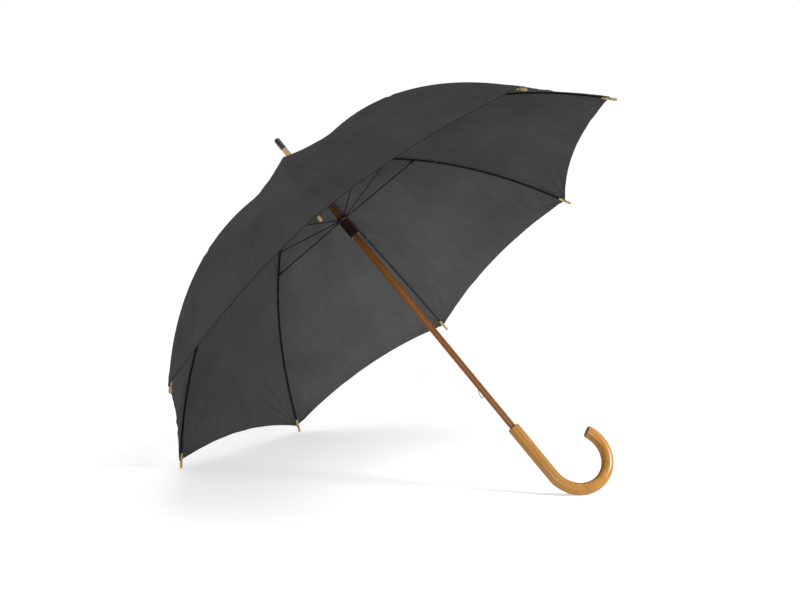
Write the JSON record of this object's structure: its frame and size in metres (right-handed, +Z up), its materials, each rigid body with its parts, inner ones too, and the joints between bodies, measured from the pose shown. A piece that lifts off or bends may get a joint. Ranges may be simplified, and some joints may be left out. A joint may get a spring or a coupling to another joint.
{
  "type": "stick umbrella",
  "caption": "Open stick umbrella lying on its rim: wooden shaft and crook handle, fluted steel ribs and stretchers, sliding runner and a matte black canopy.",
  "frame": {"origin": "centre of the object's footprint on the floor it lies on", "axes": "+Z up; +X level, from the canopy towards the crook; +Y level, across the shaft"},
  "size_m": [0.7526, 0.964, 0.7011],
  "materials": {
    "shaft_wood": "varnished",
    "handle_wood": "gloss varnish",
    "peg_wood": "satin",
    "cap_plastic": "gloss",
    "dark_plastic": "satin",
    "black_steel": "black paint",
    "bright_steel": "bright wire",
    "black_cloth": "matte woven"
  },
  "bodies": {
    "stick": {"shaft": "shaft_wood", "ferrule_cap": "cap_plastic", "crown_collar": "dark_plastic", "crown_rosette": "cap_plastic", "crown_wire": "bright_steel", "handle": "handle_wood"},
    "runner": {"runner": "dark_plastic", "runner_wire": "bright_steel"},
    "top_catch": {"top_spring": "bright_steel"},
    "bottom_catch": {"bottom_spring": "bright_steel"},
    "rib_1": {"rib_inner_1": "black_steel", "canopy_inner_1": "black_cloth"},
    "rib_tail_1": {"rib_outer_1": "black_steel", "peg_1": "peg_wood", "canopy_outer_1": "black_cloth"},
    "stretcher_1": {"stretcher_1": "black_steel"},
    "rib_2": {"rib_inner_2": "black_steel", "canopy_inner_2": "black_cloth"},
    "rib_tail_2": {"rib_outer_2": "black_steel", "peg_2": "peg_wood", "canopy_outer_2": "black_cloth"},
    "stretcher_2": {"stretcher_2": "black_steel"},
    "rib_3": {"rib_inner_3": "black_steel", "canopy_inner_3": "black_cloth"},
    "rib_tail_3": {"rib_outer_3": "black_steel", "peg_3": "peg_wood", "canopy_outer_3": "black_cloth"},
    "stretcher_3": {"stretcher_3": "black_steel"},
    "rib_4": {"rib_inner_4": "black_steel", "canopy_inner_4": "black_cloth"},
    "rib_tail_4": {"rib_outer_4": "black_steel", "peg_4": "peg_wood", "canopy_outer_4": "black_cloth"},
    "stretcher_4": {"stretcher_4": "black_steel"},
    "rib_5": {"rib_inner_5": "black_steel", "canopy_inner_5": "black_cloth"},
    "rib_tail_5": {"rib_outer_5": "black_steel", "peg_5": "peg_wood", "canopy_outer_5": "black_cloth"},
    "stretcher_5": {"stretcher_5": "black_steel"},
    "rib_6": {"rib_inner_6": "black_steel", "canopy_inner_6": "black_cloth"},
    "rib_tail_6": {"rib_outer_6": "black_steel", "peg_6": "peg_wood", "canopy_outer_6": "black_cloth"},
    "stretcher_6": {"stretcher_6": "black_steel"},
    "rib_7": {"rib_inner_7": "black_steel", "canopy_inner_7": "black_cloth"},
    "rib_tail_7": {"rib_outer_7": "black_steel", "peg_7": "peg_wood", "canopy_outer_7": "black_cloth"},
    "stretcher_7": {"stretcher_7": "black_steel"},
    "rib_8": {"rib_inner_8": "black_steel", "canopy_inner_8": "black_cloth"},
    "rib_tail_8": {"rib_outer_8": "black_steel", "peg_8": "peg_wood", "canopy_outer_8": "black_cloth"},
    "stretcher_8": {"stretcher_8": "black_steel"}
  },
  "joints": [
    {"name": "rib_fold_1", "type": "hinge", "parent": "stick", "child": "rib_1", "pos_m": [-0.21954, -0.00383, 0.54996], "axis": [0.2682, 0.9239, 0.273], "range_deg": [0, 74], "deforming": ["canopy_inner_1", "top_spring", "bottom_spring"]},
    {"name": "rib_flex_1", "type": "hinge", "parent": "rib_1", "child": "rib_tail_1", "pos_m": [-0.01979, -0.09694, 0.66885], "axis": [-0.2682, -0.9239, -0.273], "range_deg": [0, 24.7], "deforming": ["canopy_outer_1"]},
    {"name": "stretcher_fold_1", "type": "hinge", "parent": "rib_1", "child": "stretcher_1", "pos_m": [-0.02147, -0.09593, 0.66708], "axis": [-0.2682, -0.9239, -0.273], "range_deg": [0, 148]},
    {"name": "rib_fold_2", "type": "hinge", "parent": "stick", "child": "rib_2", "pos_m": [-0.21954, 0.00383, 0.54996], "axis": [-0.2682, 0.9239, -0.273], "range_deg": [0, 74], "deforming": ["canopy_inner_2"]},
    {"name": "rib_flex_2", "type": "hinge", "parent": "rib_2", "child": "rib_tail_2", "pos_m": [-0.01979, 0.09694, 0.66885], "axis": [0.2682, -0.9239, 0.273], "range_deg": [0, 24.7], "deforming": ["canopy_outer_2"]},
    {"name": "stretcher_fold_2", "type": "hinge", "parent": "rib_2", "child": "stretcher_2", "pos_m": [-0.02147, 0.09593, 0.66708], "axis": [0.2682, -0.9239, 0.273], "range_deg": [0, 148]},
    {"name": "rib_fold_3", "type": "hinge", "parent": "stick", "child": "rib_3", "pos_m": [-0.22333, 0.00924, 0.5461], "axis": [-0.6474, 0.3827, -0.6591], "range_deg": [0, 74], "deforming": ["canopy_inner_3"]},
    {"name": "rib_flex_3", "type": "hinge", "parent": "rib_3", "child": "rib_tail_3", "pos_m": [-0.11586, 0.23403, 0.57105], "axis": [0.6474, -0.3827, 0.6591], "range_deg": [0, 24.7], "deforming": ["canopy_outer_3"]},
    {"name": "stretcher_fold_3", "type": "hinge", "parent": "rib_3", "child": "stretcher_3", "pos_m": [-0.11653, 0.23159, 0.5703], "axis": [0.6474, -0.3827, 0.6591], "range_deg": [0, 148]},
    {"name": "rib_fold_4", "type": "hinge", "parent": "stick", "child": "rib_4", "pos_m": [-0.2287, 0.00924, 0.54064], "axis": [-0.6474, -0.3827, -0.6591], "range_deg": [0, 74], "deforming": ["canopy_inner_4"]},
    {"name": "rib_flex_4", "type": "hinge", "parent": "rib_4", "child": "rib_tail_4", "pos_m": [-0.25172, 0.23403, 0.43274], "axis": [0.6474, 0.3827, 0.6591], "range_deg": [0, 24.7], "deforming": ["canopy_outer_4"]},
    {"name": "stretcher_fold_4", "type": "hinge", "parent": "rib_4", "child": "stretcher_4", "pos_m": [-0.25098, 0.23159, 0.43343], "axis": [0.6474, 0.3827, 0.6591], "range_deg": [0, 148]},
    {"name": "rib_fold_5", "type": "hinge", "parent": "stick", "child": "rib_5", "pos_m": [-0.23249, 0.00383, 0.53678], "axis": [-0.2682, -0.9239, -0.273], "range_deg": [0, 74], "deforming": ["canopy_inner_5"]},
    {"name": "rib_flex_5", "type": "hinge", "parent": "rib_5", "child": "rib_tail_5", "pos_m": [-0.3478, 0.09694, 0.33494], "axis": [0.2682, 0.9239, 0.273], "range_deg": [0, 24.7], "deforming": ["canopy_outer_5"]},
    {"name": "stretcher_fold_5", "type": "hinge", "parent": "rib_5", "child": "stretcher_5", "pos_m": [-0.34605, 0.09593, 0.33664], "axis": [0.2682, 0.9239, 0.273], "range_deg": [0, 148]},
    {"name": "rib_fold_6", "type": "hinge", "parent": "stick", "child": "rib_6", "pos_m": [-0.23249, -0.00383, 0.53678], "axis": [0.2682, -0.9239, 0.273], "range_deg": [0, 74], "deforming": ["canopy_inner_6"]},
    {"name": "rib_flex_6", "type": "hinge", "parent": "rib_6", "child": "rib_tail_6", "pos_m": [-0.3478, -0.09694, 0.33494], "axis": [-0.2682, 0.9239, -0.273], "range_deg": [0, 24.7], "deforming": ["canopy_outer_6"]},
    {"name": "stretcher_fold_6", "type": "hinge", "parent": "rib_6", "child": "stretcher_6", "pos_m": [-0.34605, -0.09593, 0.33664], "axis": [-0.2682, 0.9239, -0.273], "range_deg": [0, 148]},
    {"name": "rib_fold_7", "type": "hinge", "parent": "stick", "child": "rib_7", "pos_m": [-0.2287, -0.00924, 0.54064], "axis": [0.6474, -0.3827, 0.6591], "range_deg": [0, 74], "deforming": ["canopy_inner_7"]},
    {"name": "rib_flex_7", "type": "hinge", "parent": "rib_7", "child": "rib_tail_7", "pos_m": [-0.25172, -0.23403, 0.43274], "axis": [-0.6474, 0.3827, -0.6591], "range_deg": [0, 24.7], "deforming": ["canopy_outer_7"]},
    {"name": "stretcher_fold_7", "type": "hinge", "parent": "rib_7", "child": "stretcher_7", "pos_m": [-0.25098, -0.23159, 0.43343], "axis": [-0.6474, 0.3827, -0.6591], "range_deg": [0, 148]},
    {"name": "rib_fold_8", "type": "hinge", "parent": "stick", "child": "rib_8", "pos_m": [-0.22333, -0.00924, 0.5461], "axis": [0.6474, 0.3827, 0.6591], "range_deg": [0, 74], "deforming": ["canopy_inner_8"]},
    {"name": "rib_flex_8", "type": "hinge", "parent": "rib_8", "child": "rib_tail_8", "pos_m": [-0.11586, -0.23403, 0.57105], "axis": [-0.6474, -0.3827, -0.6591], "range_deg": [0, 24.7], "deforming": ["canopy_outer_8"]},
    {"name": "stretcher_fold_8", "type": "hinge", "parent": "rib_8", "child": "stretcher_8", "pos_m": [-0.11653, -0.23159, 0.5703], "axis": [-0.6474, -0.3827, -0.6591], "range_deg": [0, 148]},
    {"name": "runner_eye_1", "type": "hinge", "parent": "stretcher_1", "child": "runner", "pos_m": [-0.13503, -0.00383, 0.46694], "axis": [0.2682, 0.9239, 0.273], "range_deg": [0, 74]},
    {"name": "top_catch_press", "type": "hinge", "parent": "stick", "child": "top_catch", "pos_m": [-0.14985, -0.00047, 0.46879], "axis": [0.6585, 0.342, 0.6704], "range_deg": [0, 3.2], "stiffness_Nm_per_rad": 3},
    {"name": "bottom_catch_press", "type": "hinge", "parent": "stick", "child": "bottom_catch", "pos_m": [0.13863, -0.00017, 0.18452], "axis": [0.2397, -0.9397, 0.244], "range_deg": [0, 9], "stiffness_Nm_per_rad": 1.1}
  ],
  "couplings": [
    {"joint": "rib_flex_1", "follows": "rib_fold_1", "ratio": 0.33378},
    {"joint": "stretcher_fold_1", "follows": "rib_fold_1", "ratio": 2},
    {"joint": "rib_fold_2", "follows": "rib_fold_1", "ratio": 1},
    {"joint": "rib_flex_2", "follows": "rib_fold_1", "ratio": 0.33378},
    {"joint": "stretcher_fold_2", "follows": "rib_fold_1", "ratio": 2},
    {"joint": "rib_fold_3", "follows": "rib_fold_1", "ratio": 1},
    {"joint": "rib_flex_3", "follows": "rib_fold_1", "ratio": 0.33378},
    {"joint": "stretcher_fold_3", "follows": "rib_fold_1", "ratio": 2},
    {"joint": "rib_fold_4", "follows": "rib_fold_1", "ratio": 1},
    {"joint": "rib_flex_4", "follows": "rib_fold_1", "ratio": 0.33378},
    {"joint": "stretcher_fold_4", "follows": "rib_fold_1", "ratio": 2},
    {"joint": "rib_fold_5", "follows": "rib_fold_1", "ratio": 1},
    {"joint": "rib_flex_5", "follows": "rib_fold_1", "ratio": 0.33378},
    {"joint": "stretcher_fold_5", "follows": "rib_fold_1", "ratio": 2},
    {"joint": "rib_fold_6", "follows": "rib_fold_1", "ratio": 1},
    {"joint": "rib_flex_6", "follows": "rib_fold_1", "ratio": 0.33378},
    {"joint": "stretcher_fold_6", "follows": "rib_fold_1", "ratio": 2},
    {"joint": "rib_fold_7", "follows": "rib_fold_1", "ratio": 1},
    {"joint": "rib_flex_7", "follows": "rib_fold_1", "ratio": 0.33378},
    {"joint": "stretcher_fold_7", "follows": "rib_fold_1", "ratio": 2},
    {"joint": "rib_fold_8", "follows": "rib_fold_1", "ratio": 1},
    {"joint": "rib_flex_8", "follows": "rib_fold_1", "ratio": 0.33378},
    {"joint": "stretcher_fold_8", "follows": "rib_fold_1", "ratio": 2},
    {"joint": "runner_eye_1", "follows": "rib_fold_1", "ratio": 1}
  ]
}
